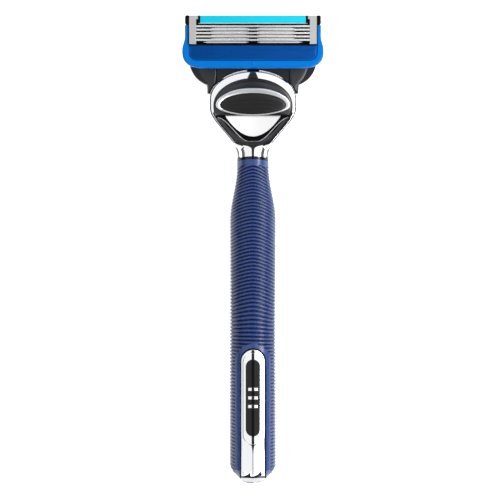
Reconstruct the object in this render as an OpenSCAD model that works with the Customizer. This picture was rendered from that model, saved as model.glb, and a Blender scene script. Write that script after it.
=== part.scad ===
// Cartridge razor: five floating blades in a cartridge that pivots on a releasable connector.
// It lies on its back. +Z is up out of the shaving face, +Y runs from the handle's end to the
// cartridge and +X across the cartridge. The origin is on the surface it rests on, under the
// middle of its length. Lengths along the razor are written as y from the handle's end.

/* [Overall] */
// Length from the end of the handle to the top of the cartridge
total_len = 142; // [138:1:146]

/* [Handle] */
// Diameter over the grip
grip_d = 14; // [13.6:0.2:14.4]
// Rise of the handle at its end, degrees
tail_slope = 12; // [11:1:13]
// Fall of the handle towards the neck, degrees
neck_slope = 10; // [9:1:10]
// Width of the plated spine
spine_w = 7.3; // [6.8:0.1:7.8]
// Width of the black insert in the spine
insert_w = 4.6; // [4.2:0.1:4.8]

/* [Neck] */
// Half width of the plated frame
frame_half = 13.3; // [13.1:0.1:13.4]
// Width of the see-through window
window_w = 17; // [15:0.5:17.5]
// Height of the see-through window
window_h = 6.3; // [5:0.1:6.3]

/* [Button] */
// How far the eject button slides forward
button_travel = 2.5; // [2:0.1:2.5]
// Width of the oval rim of the button
bezel_w = 22.5; // [21:0.5:22.5]

/* [Cartridge] */
// Distance between neighbouring blade edges
blade_pitch = 1.035; // [1.0:0.005:1.04]
// Tilt of the blade edges to the shaving face, degrees
blade_tilt = 22; // [20:1:24]
// Number of fins on the guard
fin_count = 10; // [8:1:11]

/* [Hidden] */
$fn = 64;
eps = 0.01;
wide = 60;

// Cartridge frame of reference: its lower edge, its back, and the pivot behind the guard
cart_h = 16;
cart_y = total_len - cart_h;
cart_z = 10;
pivot_y = cart_y + 3.4;
pivot_z = 8.4;
pin_r = 0.8;
pin_gap = 0.06;

// Handle: a straight tail, an arc, then a straight stretch that narrows to the collar
grip_r = grip_d / 2;
core_r = grip_r - 1.6;
butt_r = 3.65;
tail_len = 4.8;
collar_y = cart_y - 28.2;
taper_span = 17.8;
taper_len = taper_span / cos(neck_slope);
root = 0.2;
collar_r = 4.8;
collar_len = 1.4;
tail_y = 0.55;
arc_y0 = tail_y + tail_len * cos(tail_slope);
arc_y1 = collar_y - taper_span;
arc_r = (arc_y1 - arc_y0) / (sin(tail_slope) + sin(neck_slope));
arc_z0 = grip_r / cos(tail_slope);
arc_cy = arc_y0 + arc_r * sin(tail_slope);
arc_cz = arc_z0 - arc_r * cos(tail_slope);
tail_z = arc_z0 - tail_len * sin(tail_slope);
taper_z = arc_cz + arc_r * cos(neck_slope);

// Spine, insert and bars on the front of the handle
spine_gap = 0.4;
spine_top = 41;
insert_y = [14.6, 38.1];
bar_y = 26.4;
bar_pitch = 2.6;

// Neck: plated frame outside, black liner inside
liner_mid = cart_y - 11;
liner_half = frame_half - 1.3;
liner_low = 12.5;
liner_high = 8.25;
frame_wall = 0.9;
head_front = cart_y - 7.4;
head_top = 9.4;
deck_z = 7.8;
hood_z = 9.2;
yoke_top = 5.6;
window_y = cart_y - 14.1;
cover_z = [0.1, 0.9];

// Hidden mechanism in the neck
plunger_z = 2.8;
plunger_r = 1.1;
spring_x = 4.6;
spring_r = 0.9;
cavity_y = window_y + 1.1;
slider_y = cavity_y + 0.1;
slider_t = 1.2;
tongue_w = 13;
tongue_z = [1.2, 4.4];
tongue_y = head_front + 2.6;
nose_y = head_front + 5.8;
socket_gap = 0.06;
arm_x = [7.6, 9.6];

// Button shape
button_mid = cart_y - 11;
bezel_z = [9.4, 10.7];
pad_z = [10.2, 11.2];

// Blades, in the cartridge frame of reference
blade_count = 5;
edge_z = 5;
first_edge = 12.39;
strip_w = 0.72;
strip_t = 0.1;
grind = 0.22;
blade_half = 18.2;
steel_t = 0.12;
platform_v = 0.3;
bend_drop = 0.08;
leg_v = 0.62;
foot_z = 2.2;
foot_half = 12.8;
foot_len = 0.15;
front_half = 15;
front_len = 0.62;
rib_half = 1.2;
rinse_x = 12.6;
clip_x = [17.2, 19.27];

black = [0.03, 0.03, 0.035];
charcoal = [0.16, 0.16, 0.18];
plated = [0.86, 0.87, 0.89];
steel = [0.8, 0.8, 0.81];
grip_blue = [0.2, 0.32, 0.62];
frame_blue = [0.03, 0.47, 0.9];
navy = [0.05, 0.27, 0.52];
cyan_blue = [0.08, 0.85, 0.96];
pale = [0.75, 0.86, 0.88];

// ---------- helpers ----------

// Ease from 0 to 1, level at both ends
function ease(t) = let (u = min(max(t, 0), 1)) u * u * (3 - 2 * u);

// Moves a y counted from the handle's end to the frame of the whole razor
module place() {
    translate([0, -total_len / 2, 0]) children();
}

// Places a piece drawn in the cartridge's own frame: x, up the face, out of the face
module on_cartridge() {
    place() translate([0, cart_y, cart_z]) children();
}

module mirrored() {
    children();
    mirror([1, 0, 0]) children();
}

// A box between two corners
module block(low, high) {
    translate(low) cube(high - low);
}

// A square with four round corners
module rounded(low, high, r) {
    translate([low[0] + r, low[1]]) square([high[0] - low[0] - 2 * r, high[1] - low[1]]);
    translate([low[0], low[1] + r]) square([high[0] - low[0], high[1] - low[1] - 2 * r]);
    for (x = [low[0] + r, high[0] - r])
        for (y = [low[1] + r, high[1] - r])
            translate([x, y]) circle(r);
}

// Extrudes a profile drawn in y and z across the razor
module across(x0, x1) {
    translate([x0, 0, 0]) rotate([90, 0, 90]) linear_extrude(x1 - x0) children();
}

// Stands on the handle's axis at its end, or where the straight taper begins, with Z along it
module on_tail() {
    translate([0, tail_y, tail_z]) rotate([tail_slope - 90, 0, 0]) children();
}

module on_taper() {
    translate([0, arc_y1, taper_z]) rotate([-neck_slope - 90, 0, 0]) children();
}

// A round bar bent to the handle's arc, or a tube when it has a hole
module bent_bar(r, hole = 0) {
    translate([0, arc_cy, arc_cz]) rotate([90 - neck_slope, 0, 0]) rotate([90, 0, 90])
        rotate_extrude(angle = tail_slope + neck_slope, $fn = 128) translate([arc_r, 0])
            difference() {
                circle(r);
                if (hole > 0) circle(hole);
            }
}

// The front half of a shape on the handle, cut to an outline drawn from above
module front_cut() {
    translate([0, 0, tail_z]) linear_extrude(wide) children();
}

module arch(w, top) {
    translate([-w / 2, -wide]) square([w, top - w / 2 + wide]);
    translate([0, top - w / 2]) circle(w / 2);
}

module pill(w, y0, y1) {
    translate([-w / 2, y0 + w / 2]) square([w, y1 - y0 - w]);
    for (y = [y0 + w / 2, y1 - w / 2])
        translate([0, y]) circle(w / 2);
}

// ---------- handle ----------

function taper_r(t) = grip_r - (grip_r - collar_r - 0.07) * ease(t / 0.92);

module tail_profile() {
    polygon([[0, 0], [butt_r - 0.65, 0], [butt_r, 0.45], [6.2 * grip_r / 7, 3.3],
        [grip_r, tail_len], [grip_r, tail_len + eps], [0, tail_len + eps]]);
}

// A straight bar on the tail that reaches a little way into the bent one
module tail_bar(r) {
    on_tail() translate([0, 0, 2.6]) {
        cylinder(r = r, h = tail_len - 2.6);
        cylinder(r = r - root, h = tail_len - 1.6);
    }
}

module core_outside() {
    bent_bar(core_r);
    tail_bar(core_r);
    on_taper() cylinder(r1 = core_r, r2 = 3.2, h = taper_len);
    on_taper() translate([0, 0, -1]) cylinder(r = core_r - root, h = 1.5);
}

// The tail and the taper each reach a little way into the wall of the bent tube
module grip_sleeve() {
    color(grip_blue) place() difference() {
        union() {
            bent_bar(grip_r, core_r);
            on_tail() rotate_extrude()
                polygon([[butt_r + 0.05, 0.5], [6.2 * grip_r / 7, 3.3], [grip_r, tail_len],
                    [grip_r - root, tail_len], [grip_r - root, tail_len + 1],
                    [core_r + root, tail_len + 1], [core_r + root, tail_len],
                    [core_r, tail_len], [core_r, 2.6], [butt_r + 0.05, 2.6]]);
            on_taper() rotate_extrude()
                polygon(concat([[core_r, 0], [core_r + root, 0], [core_r + root, -1],
                    [grip_r - root, -1], [grip_r - root, 0]],
                    [for (i = [0:10]) [taper_r(i / 10), taper_len * i / 10]],
                    [[3.2, taper_len]]));
        }
        front_cut() arch(spine_w + 2 * spine_gap, spine_top + spine_gap);
    }
}

module spine_block(r) {
    intersection() {
        union() {
            bent_bar(r);
            tail_bar(r);
        }
        front_cut() arch(spine_w, spine_top);
    }
}

module handle_core() {
    color(plated) place() difference() {
        union() {
            core_outside();
            spine_block(grip_r - 0.12);
            on_taper() translate([0, 0, taper_len - 2]) cylinder(r = 3.2, h = collar_len + 4.4);
        }
        intersection() {
            difference() {
                bent_bar(grip_r + 1);
                bent_bar(grip_r - 0.9);
            }
            front_cut() pill(insert_w, insert_y[0], insert_y[1]);
        }
        on_tail() cylinder(r = 1.5, h = tail_len + 2);
    }
}

module bar_outline() {
    for (i = [-1:1])
        translate([-1.5, bar_y + i * bar_pitch - 0.5]) square([3, 1]);
}

module spine_insert() {
    color(black) place() difference() {
        intersection() {
            bent_bar(grip_r - 0.1);
            front_cut() pill(insert_w, insert_y[0], insert_y[1]);
        }
        bent_bar(grip_r - 0.9);
        difference() {
            front_cut() bar_outline();
            bent_bar(grip_r - 0.45);
        }
    }
}

module insert_bars() {
    color(plated) place() difference() {
        intersection() {
            bent_bar(grip_r - 0.05);
            front_cut() bar_outline();
        }
        bent_bar(grip_r - 0.45);
    }
}

module end_cap() {
    color(plated) place() {
        intersection() {
            on_tail() rotate_extrude() tail_profile();
            union() {
                on_tail() cylinder(r = butt_r, h = 2.6);
                intersection() {
                    front_cut() arch(spine_w, spine_top);
                    on_tail() cylinder(r = 20, h = 2.6);
                }
            }
        }
        on_tail() translate([0, 0, 2.6 - eps]) cylinder(r = 1.5, h = 3);
    }
}

module neck_collar() {
    color(black) place() on_taper() translate([0, 0, taper_len]) difference() {
        cylinder(r = collar_r, h = collar_len);
        translate([0, 0, -1]) cylinder(r = 3.2, h = collar_len + 2);
    }
}

// ---------- neck ----------

// Half width of the plated frame at a height y: neck, flare, then an oval front
function frame_width(y) = let (d = y - cart_y)
    d < -11.5 ? 4.6 + (frame_half - 4.6) * ease((d + 26.5) / 15)
    : d < -9 ? frame_half
    : frame_half * sqrt(max(0, 1 - pow((d + 9) / 8.8, 2)));

module frame_outline(extra = 0) {
    low = collar_y - 1;
    top = cart_y - 0.2 + extra;
    mid = cart_y - 9;
    side = [for (i = [0:16]) let (y = low + (mid - low) * i / 16) [frame_width(y) + extra, y]];
    crown = [for (a = [6:6:84]) [(frame_half + extra) * cos(a), mid + (top - mid) * sin(a)]];
    half = concat(side, crown);
    polygon(concat(half, [[0, top]], [for (i = [len(half) - 1:-1:0]) [-half[i][0], half[i][1]]]));
}

// The liner's outline: two half ovals, held back where the frame's wall would get thin
module liner_outline() {
    polygon([for (a = [0:6:354])
        let (
            y = liner_mid + (sin(a) < 0 ? liner_low : liner_high) * sin(a),
            x = min(abs(liner_half * cos(a)), frame_width(y) - frame_wall)
        )
        [sign(cos(a)) * x, y]]);
}

// The D-shaped window: flat on top, a parabola below
module window_outline(rim = 0) {
    half = window_w / 2 + rim;
    polygon(concat([for (i = [-12:12]) let (x = half * i / 12)
        [x, window_y - window_h - rim + (window_h + rim) * pow(i / 12, 2)]]));
}

module neck_ring() {
    color(plated) place() difference() {
        intersection() {
            linear_extrude(12) frame_outline();
            across(-wide, wide) polygon([[collar_y - 2, 0.5], [collar_y + 6, 0.3],
                [collar_y + 11, 0], [total_len, 0], [total_len, head_top],
                [collar_y + 12, head_top], [collar_y + 6, 9.75], [collar_y - 2, 10.2]]);
        }
        translate([0, 0, -1]) linear_extrude(14) liner_outline();
        block([-wide, head_front, -1], [wide, total_len, yoke_top + 0.2]);
        on_taper() cylinder(r = 20, h = taper_len + collar_len);
        on_taper() cylinder(r = 3.2, h = taper_len + collar_len + 2.4);
    }
}

module neck_liner() {
    color(black) place() difference() {
        union() {
            intersection() {
                translate([0, 0, 0.3]) linear_extrude(deck_z - 0.3) liner_outline();
                union() {
                    block([-wide, 0, 0], [wide, head_front, 12]);
                    block([-wide, head_front - eps, yoke_top + 0.2], [wide, total_len, 12]);
                }
            }
            intersection() {
                translate([0, 0, deck_z - eps]) linear_extrude(0.7 + eps) window_outline(1.6);
                translate([0, 0, deck_z - eps]) linear_extrude(0.7 + eps) liner_outline();
            }
            block([-tongue_w / 2, head_front - 1, tongue_z[0]], [tongue_w / 2, tongue_y, tongue_z[1]]);
            translate([0, tongue_y - eps, plunger_z]) rotate([-90, 0, 0])
                cylinder(r = 1.6, h = nose_y - tongue_y + eps);
        }
        translate([0, 0, -1]) linear_extrude(14) window_outline();
        // Room for the slider and its two arms, open to the back
        block([-9.8, cavity_y, 4.6], [9.8, head_front - 1.2, 7]);
        mirrored() block([arm_x[0] - 0.1, cavity_y, 0],
            [arm_x[1] + 0.2, head_front + 1, yoke_top + 0.2]);
        mirrored() block([spring_x - 1.1, cavity_y, 0],
            [spring_x + 1.1, slider_y + slider_t + button_travel + 0.2, 7]);
        block([-3.7, cavity_y, 6.5], [3.7, head_front + 0.2, deck_z + 1]);
        // Recess for the back cover
        intersection() {
            block([-10.6, window_y + 0.5, -1], [10.6, head_front + 0.1, cover_z[1]]);
            translate([0, 0, -1]) linear_extrude(3) liner_outline();
        }
        // Bores for the plunger and the two return springs
        translate([0, cavity_y, plunger_z]) rotate([-90, 0, 0])
            cylinder(r = plunger_r + pin_gap, h = total_len);
        mirrored() translate([spring_x, cavity_y, plunger_z]) rotate([-90, 0, 0])
            cylinder(r = spring_r + 0.1, h = tongue_y - 0.6 - cavity_y);
    }
}

module button_hood() {
    color(charcoal) place() difference() {
        intersection() {
            translate([0, 0, deck_z]) linear_extrude(hood_z - deck_z) liner_outline();
            block([-wide, window_y, 0], [wide, total_len, 12]);
        }
        block([-3.7, cavity_y, 0], [3.7, head_front + 0.2, 12]);
    }
}

module back_cover() {
    color(black) place() intersection() {
        translate([0, 0, cover_z[0]]) linear_extrude(cover_z[1] - cover_z[0]) liner_outline();
        block([-10.6, window_y + 0.5, 0], [10.6, head_front, 2]);
    }
}

// ---------- button ----------

// Oval with a deeper upper half
module lens(half, up, down) {
    polygon([for (a = [0:6:354])
        [half * cos(a), button_mid + (sin(a) < 0 ? down : up) * sin(a)]]);
}

module eject_button() {
    color(black) place() {
        block([-9.6, slider_y, 4.7], [9.6, slider_y + slider_t, 6.8]);
        mirrored() block([arm_x[0], slider_y, 1.4],
            [arm_x[1], head_front + 0.05, yoke_top - 0.1]);
        mirrored() block([spring_x - 1, slider_y, 1.4], [spring_x + 1, slider_y + slider_t, 4.8]);
        block([-3.5, slider_y, 6.7], [3.5, slider_y + 2.8, bezel_z[0] + 0.2]);
        translate([0, 0, bezel_z[0]]) linear_extrude(pad_z[0] - bezel_z[0]) lens(9.9, 3.5, 2.1);
    }
}

module button_bezel() {
    color(plated) place() translate([0, 0, bezel_z[0]]) difference() {
        linear_extrude(bezel_z[1] - bezel_z[0]) lens(bezel_w / 2, 5.3, 3.1);
        translate([0, 0, -1]) linear_extrude(4) lens(9.9, 3.5, 2.1);
    }
}

module button_pad() {
    color(charcoal) place() translate([0, 0, pad_z[0]])
        linear_extrude(pad_z[1] - pad_z[0]) lens(9.9, 3.5, 2.1);
}

// A coil spring along y, drawn as the sleeve that its wire fills
module coil(x, y0, y1, r) {
    place() translate([x, y0, plunger_z]) rotate([-90, 0, 0]) difference() {
        cylinder(r = r, h = y1 - y0);
        translate([0, 0, -1]) cylinder(r = r - 0.3, h = y1 - y0 + 2);
    }
}

module button_spring(side) {
    color(steel) coil(side * spring_x, slider_y + slider_t + 0.02, tongue_y - 0.62, spring_r);
}

// ---------- plunger and connector ----------

module plunger() {
    color(black) place() translate([0, head_front + 1.2, plunger_z]) rotate([-90, 0, 0])
        cylinder(r = plunger_r, h = pivot_y - 0.95 - head_front - 1.2);
}

module plunger_spring() {
    color(steel) coil(0, cavity_y + 0.05, head_front + 1.18, plunger_r - 0.05);
}

wing_r = 8;
wing_x = 11.4;
wing_y = cart_y + 3;
yoke_y0 = head_front + 0.15;
yoke_y1 = cart_y + 1.6;
pivot_x = [17.2, 19.2];

module wing_outline() {
    difference() {
        union() {
            translate([-13.6, yoke_y0]) square([27.2, yoke_y1 - yoke_y0]);
            mirrored() translate([wing_x, wing_y]) circle(wing_r);
        }
        translate([-wide, yoke_y1]) square([2 * wide, wide]);
        translate([-wide, yoke_y0 - wide]) square([2 * wide, wide]);
    }
}

module yoke() {
    color(charcoal) place() difference() {
        union() {
            translate([0, 0, 0.2]) linear_extrude(yoke_top - 0.2) wing_outline();
            difference() {
                translate([0, 0, yoke_top - eps]) linear_extrude(1.6 + eps) wing_outline();
                translate([0, 0, yoke_top - 1]) linear_extrude(4) frame_outline(0.3);
            }
            mirrored() across(pivot_x[0], pivot_x[1]) {
                translate([pivot_y, pivot_z]) circle(1.3);
                polygon([[pivot_y - 2.7, 3], [pivot_y - 0.5, 3], [pivot_y + 1.2, pivot_z - 0.5],
                    [pivot_y - 1.2, pivot_z + 0.5]]);
            }
            mirrored() translate([14.6, pivot_y, pivot_z]) rotate([0, 90, 0])
                cylinder(r = pin_r, h = 3);
        }
        // Undersides of the wings are cut away
        mirrored() block([13.9, yoke_y0 - 1, -1], [wide, pivot_y + 4, 3]);
        // Socket for the docking tongue, with room for the plunger and the cartridge's cam
        block([-tongue_w / 2 - socket_gap, yoke_y0 - 1, tongue_z[0] - socket_gap],
            [tongue_w / 2 + socket_gap, tongue_y + 0.1, tongue_z[1] + socket_gap]);
        block([-3, tongue_y, tongue_z[0] - socket_gap], [3, wide + total_len, 20]);
    }
}

// ---------- cartridge ----------

pivot_v = pivot_y - cart_y;
pivot_w = pivot_z - cart_z;
cam_w = plunger_z - cart_z;

// Half width of the blue frame up the face: superellipse corner, bulge, then a straight rail
function rail_half(v) = v < 5
    ? 14.6 + 6.8 * pow(max(0, 1 - pow((5 - v) / 4.9, 2.5)), 0.4)
    : 20.6 + 0.8 * (1 - ease((v - 5.5) / 4));

module rail_outline() {
    side = concat([for (v = [0.1, 0.2, 0.4, 0.7, 1.1, 1.7, 2.4, 3.2, 4.1]) [rail_half(v), v]],
        [for (v = [5:0.5:9.5]) [rail_half(v), v]], [[rail_half(13), 13]]);
    polygon(concat(side, [for (i = [len(side) - 1:-1:0]) [-side[i][0], side[i][1]]]));
}

module inside_outline() {
    intersection() {
        rounded([-19.5, 2.25], [19.5, 20], 2.5);
        translate([-19.5, 2]) square([39, 14]);
    }
}

module cartridge_frame() {
    color(frame_blue) on_cartridge() difference() {
        translate([0, 0, 0.2]) linear_extrude(4.5) rail_outline();
        translate([0, 0, -1]) linear_extrude(8) inside_outline();
    }
}

module pivot_lug() {
    across(14.8, 17) {
        translate([pivot_v, pivot_w]) circle(1.5);
        translate([pivot_v - 0.4, pivot_w]) square([2.4, eps - pivot_w]);
    }
}

module cartridge_housing() {
    color(black) on_cartridge() difference() {
        union() {
            linear_extrude(2.6) inside_outline();
            mirrored() block([18.4, 6.95, 2.5], [19.5, 16, 4.5]);
            block([-19.5, 6.95, 2.5], [19.5, 7.25, 4.6]);
            block([-19.5, 13.35, 2.5], [19.5, 16, 4]);
            mirrored() linear_extrude(4.9) difference() {
                rounded([19.3, 13.05], [20.55, 16], 0.6);
                translate([19, 12]) square([0.3, 5]);
            }
            mirrored() pivot_lug();
            across(-2.4, 2.4) {
                translate([pivot_v, cam_w]) circle(0.8);
                polygon([[pivot_v - 0.8, eps], [pivot_v - 0.8, cam_w], [pivot_v + 0.8, cam_w],
                    [pivot_v + 2.2, eps]]);
            }
        }
        // Blade pocket, stepped so that the blade ends rest on ledges
        block([-18.35, 7.25, 1.9], [18.35, 13.35, 6]);
        mirrored() block([rib_half, 7.6, -1], [rinse_x, 13, 3]);
        // Slots and seats for the retaining clips
        mirrored() block([clip_x[0] - 0.05, 7.2, -1], [18.35, 7.6, 6]);
        mirrored() block([clip_x[0] - 0.05, 15.55, -1], [clip_x[1] + 0.05, 17, 6]);
        mirrored() block([clip_x[0] - 0.05, 7.2, -1], [18.35, 9.2, 0.35]);
        mirrored() block([clip_x[0] - 0.05, 14, -1], [clip_x[1] + 0.05, 16.5, 0.35]);
        mirrored() translate([14.7, pivot_v, pivot_w]) rotate([0, 90, 0])
            cylinder(r = pin_r + pin_gap, h = 2.4);
    }
}

module fin_guard() {
    color(navy) on_cartridge() {
        translate([0, 0, 2.6]) linear_extrude(1.7) difference() {
            inside_outline();
            translate([-wide, 6.9]) square(2 * wide);
        }
        for (i = [0:fin_count - 1])
            block([-18, 2.9 + i * 3.7 / (fin_count - 1), 4.2],
                [18, 3.1 + i * 3.7 / (fin_count - 1), 4.9]);
    }
}

module strip_holder() {
    color(pale) on_cartridge() difference() {
        block([-16.5, 13.5, 4], [16.5, 15.95, 4.85]);
        block([-16.1, 13.72, 4.3], [16.1, 15.78, 6]);
    }
}

module lube_strip() {
    color(cyan_blue) on_cartridge() block([-16.1, 13.72, 4.3], [16.1, 15.78, 5.3]);
}

// Aluminium clip: over the blade ends, through the housing and folded at the back
module clip() {
    color(plated) on_cartridge() {
        block([clip_x[0], 7.25, 5.06], [clip_x[1], 15.9, 5.35]);
        block([clip_x[0] - 0.55, 14.8, 4.86], [clip_x[1], 15.9, 5.1]);
        block([clip_x[0], 15.6, 0], [clip_x[1], 15.9, 5.2]);
        block([clip_x[0], 14.4, 0.02], [clip_x[1], 15.9, 0.3]);
        block([clip_x[0], 7.25, 0], [18.3, 7.55, 5.2]);
        block([clip_x[0], 7.25, 0.02], [18.3, 8.8, 0.3]);
    }
}

function edge_v(n) = first_edge - (n - 1) * blade_pitch;

// Ground strip, tilted, with its edge towards the guard
module blade_edge(n) {
    along = [cos(blade_tilt), -sin(blade_tilt)];
    under = [-sin(blade_tilt), -cos(blade_tilt)];
    color(steel) on_cartridge() translate([0, edge_v(n), edge_z]) across(-blade_half, blade_half)
        polygon([[0, 0], strip_w * along, strip_w * along + strip_t * under,
            grind * along + strip_t * under]);
}

// A flat foot of a blade support, in two halves with a gap for the housing's rib
module blade_foot(v0, v1, half) {
    drop = foot_z - edge_z;
    mirrored() across(rib_half, half)
        polygon([[v0, drop], [v1, drop], [v1, drop + steel_t], [v0, drop + steel_t]]);
}

// Bent support: platform under the strip, leg and foot. The foot points up the face, except the
// first blade's, and the last blade has a wider one as well that points at the guard.
module blade_support(n) {
    along = [cos(blade_tilt), -sin(blade_tilt)];
    under = [-sin(blade_tilt), -cos(blade_tilt)];
    drop = foot_z - edge_z;
    bend = strip_w * along + strip_t * under;
    lower = bend + steel_t * under;
    color(steel) on_cartridge() translate([0, edge_v(n), edge_z]) {
        across(-blade_half, blade_half)
            polygon([platform_v * along + strip_t * under, bend,
                [leg_v + steel_t, bend[1] - bend_drop], [leg_v + steel_t, drop], [leg_v, drop],
                [leg_v, lower[1]], platform_v * along + (strip_t + steel_t) * under]);
        if (n == 1) blade_foot(leg_v - foot_len, leg_v + eps, foot_half);
        else blade_foot(leg_v, leg_v + steel_t + foot_len, foot_half);
        if (n == blade_count) blade_foot(-front_len, leg_v + eps, front_half);
    }
}

handle_core();
grip_sleeve();
spine_insert();
insert_bars();
end_cap();
neck_collar();
neck_ring();
neck_liner();
button_hood();
back_cover();
eject_button();
button_bezel();
button_pad();
button_spring(-1);  // button_spring_left
button_spring(1);  // button_spring_right
plunger();
plunger_spring();
yoke();
cartridge_housing();
cartridge_frame();
fin_guard();
strip_holder();
lube_strip();
mirror([1, 0, 0]) clip();  // clip_left
clip();  // clip_right
blade_edge(1);  // blade_edge_1
blade_edge(2);  // blade_edge_2
blade_edge(3);  // blade_edge_3
blade_edge(4);  // blade_edge_4
blade_edge(5);  // blade_edge_5
blade_support(1);  // blade_support_1
blade_support(2);  // blade_support_2
blade_support(3);  // blade_support_3
blade_support(4);  // blade_support_4
blade_support(5);  // blade_support_5
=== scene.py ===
"""Looks of the cartridge razor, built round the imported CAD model.

The razor lies on its back: +Z is up out of the blades, +Y runs from the handle's end to the
cartridge. Lengths below are millimetres, and y is counted from the handle's end as in part.scad.
"""

import math
import random

import bmesh
import bpy
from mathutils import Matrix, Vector


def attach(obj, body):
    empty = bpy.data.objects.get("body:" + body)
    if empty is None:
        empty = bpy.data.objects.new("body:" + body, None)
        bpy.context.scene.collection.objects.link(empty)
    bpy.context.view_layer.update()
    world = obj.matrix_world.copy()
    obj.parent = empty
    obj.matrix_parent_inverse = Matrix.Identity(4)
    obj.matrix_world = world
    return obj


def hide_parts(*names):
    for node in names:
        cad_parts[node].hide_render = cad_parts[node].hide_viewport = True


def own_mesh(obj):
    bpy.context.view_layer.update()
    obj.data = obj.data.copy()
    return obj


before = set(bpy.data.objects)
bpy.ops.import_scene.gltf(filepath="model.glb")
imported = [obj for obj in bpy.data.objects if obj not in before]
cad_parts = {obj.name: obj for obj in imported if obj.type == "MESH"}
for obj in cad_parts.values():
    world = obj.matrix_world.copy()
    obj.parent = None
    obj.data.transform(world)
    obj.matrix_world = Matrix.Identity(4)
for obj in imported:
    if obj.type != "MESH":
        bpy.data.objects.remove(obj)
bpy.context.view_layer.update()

MM = 0.001
TOTAL = 142.0

# Cartridge's own frame: v runs along Y from its lower edge, w up from its back
CART_Y = TOTAL - 16
CART_Z = 10.0

# Handle: straight tail, arc, then a taper to the collar
GRIP_R = 7.0
CORE_R = 5.4
SPINE_R = 6.88
BUTT_R = 3.65
TAIL_SLOPE = math.radians(12)
NECK_SLOPE = math.radians(10)
TAIL_Y = 0.55
TAIL_LEN = 4.8
TAPER_SPAN = 17.8
TAPER_LEN = TAPER_SPAN / math.cos(NECK_SLOPE)
COLLAR_Y = CART_Y - 28.2
COLLAR_R = 4.8
COLLAR_LEN = 1.4
ARC_Y0 = TAIL_Y + TAIL_LEN * math.cos(TAIL_SLOPE)
ARC_Y1 = COLLAR_Y - TAPER_SPAN
ARC_R = (ARC_Y1 - ARC_Y0) / (math.sin(TAIL_SLOPE) + math.sin(NECK_SLOPE))
ARC_LEN = ARC_R * (TAIL_SLOPE + NECK_SLOPE)
ARC_Z0 = GRIP_R / math.cos(TAIL_SLOPE)
ARC_CY = ARC_Y0 + ARC_R * math.sin(TAIL_SLOPE)
ARC_CZ = ARC_Z0 - ARC_R * math.cos(TAIL_SLOPE)
TAIL_Z = ARC_Z0 - TAIL_LEN * math.sin(TAIL_SLOPE)
TAPER_Z = ARC_CZ + ARC_R * math.cos(NECK_SLOPE)
GRIP_LEN = TAIL_LEN + ARC_LEN + TAPER_LEN

# Spine with its insert, and the sleeve's ribs
SPINE_W = 7.3
SPINE_GAP = 0.4
SPINE_LOW = 2.45
SPINE_TOP = 41.0
INSERT_W = 4.6
INSERT_Y = (14.6, 38.1)
BAR_Y = 26.4
BAR_PITCH = 2.6
BAR_HALF = (1.5, 0.5)
BORDER_W = 1.25
FLUTE_PITCH = 1.8
RIB_PITCH = 1.05
RIB_DEPTH = 0.5

# Blades: strips on bent supports. A support's leg and the end of its ledge count from the edge.
FIRST_EDGE = 12.39
BLADE_PITCH = 1.035
BLADE_HALF = 18.2
STRIP_W = 0.6
WELD_PITCH = 2.85
LEG_V = 0.5
LEG_HALF = 0.05
SHELF_END = 0.92
FOOT_HALF = 12.8
POCKET_WALL = 13.3
GAP_HALF = 1.2

# Neck: a round stem that widens into a flat head with an oval front. The head's middle is as
# high as half its thickness.
NECK_Y = 98.7
NECK_Z = 5.33
NECK_R = 4.6
HEAD_Z = 4.7
HEAD_HALF = 13.3
OVAL_Y = CART_Y - 9
RING_MID = CART_Y - 14
RING_CHAMFER = 0.6
CHAMFER_SLOPE = 0.65

# Opening of the ring, an egg that is longer towards the handle
LINER_MID = CART_Y - 11
LINER_HALF = 12.0
LINER_LOW = 12.5
LINER_UP = 8.25
LINER_GAP = 0.9

# Underside of the domed deck
DECK_Z = 7.8

# Lubricating strip
LUBE_V = 14.75
LUBE_W = 4.78
LUBE_HALF = 15.95

# Springs, coiled round lines along Y
SPRING_Z = 2.8
SPRING_X = 4.6
SPRING_TURNS = 9
WIRE_R = 0.14
BUTTON_SPRING_Y = (114.42, 120.56)
PLUNGER_SPRING_Y = (113.08, 119.75)


# ---------- small helpers ----------

def ease(t):
    """From 0 to 1, level at both ends."""
    t = min(max(t, 0.0), 1.0)
    return t * t * (3 - 2 * t)


def mix(a, b, t):
    return a + (b - a) * t


def srgb(r, g, b):
    """A screen colour of 0 to 255 as linear numbers."""
    def channel(v):
        v /= 255.0
        return v / 12.92 if v <= 0.04045 else ((v + 0.055) / 1.055) ** 2.4
    return channel(r), channel(g), channel(b), 1.0


def to_frame(p):
    """A point with y from the handle's end, in the shared frame in metres."""
    return p[0] * MM, (p[1] - TOTAL / 2) * MM, p[2] * MM


def add_mesh(name, verts, faces, surface, crease=35, ribs=None):
    """A piece from points in millimetres. ribs gives each point's height on its rib."""
    mesh = bpy.data.meshes.new(name)
    mesh.from_pydata([to_frame(v) for v in verts], [], faces)
    if ribs:
        mesh.attributes.new("rib", "FLOAT", "POINT").data.foreach_set("value", ribs)
    bm = bmesh.new()
    bm.from_mesh(mesh)
    bmesh.ops.remove_doubles(bm, verts=bm.verts, dist=1e-7)
    bmesh.ops.dissolve_degenerate(bm, dist=1e-8, edges=bm.edges)
    bmesh.ops.recalc_face_normals(bm, faces=bm.faces)
    bm.to_mesh(mesh)
    bm.free()
    obj = bpy.data.objects.new(name, mesh)
    bpy.context.scene.collection.objects.link(obj)
    mesh.materials.append(surface)
    smooth(obj, crease)
    return obj


def smooth(obj, crease):
    obj.data.polygons.foreach_set("use_smooth", [True] * len(obj.data.polygons))
    obj.data.set_sharp_from_angle(angle=math.radians(crease))


def place(obj, body, slot, *nodes):
    """The piece rides on a body and stands for CAD nodes, which it hides. slot is not used."""
    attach(obj, body)
    if nodes:
        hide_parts(*nodes)
    return obj


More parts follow.
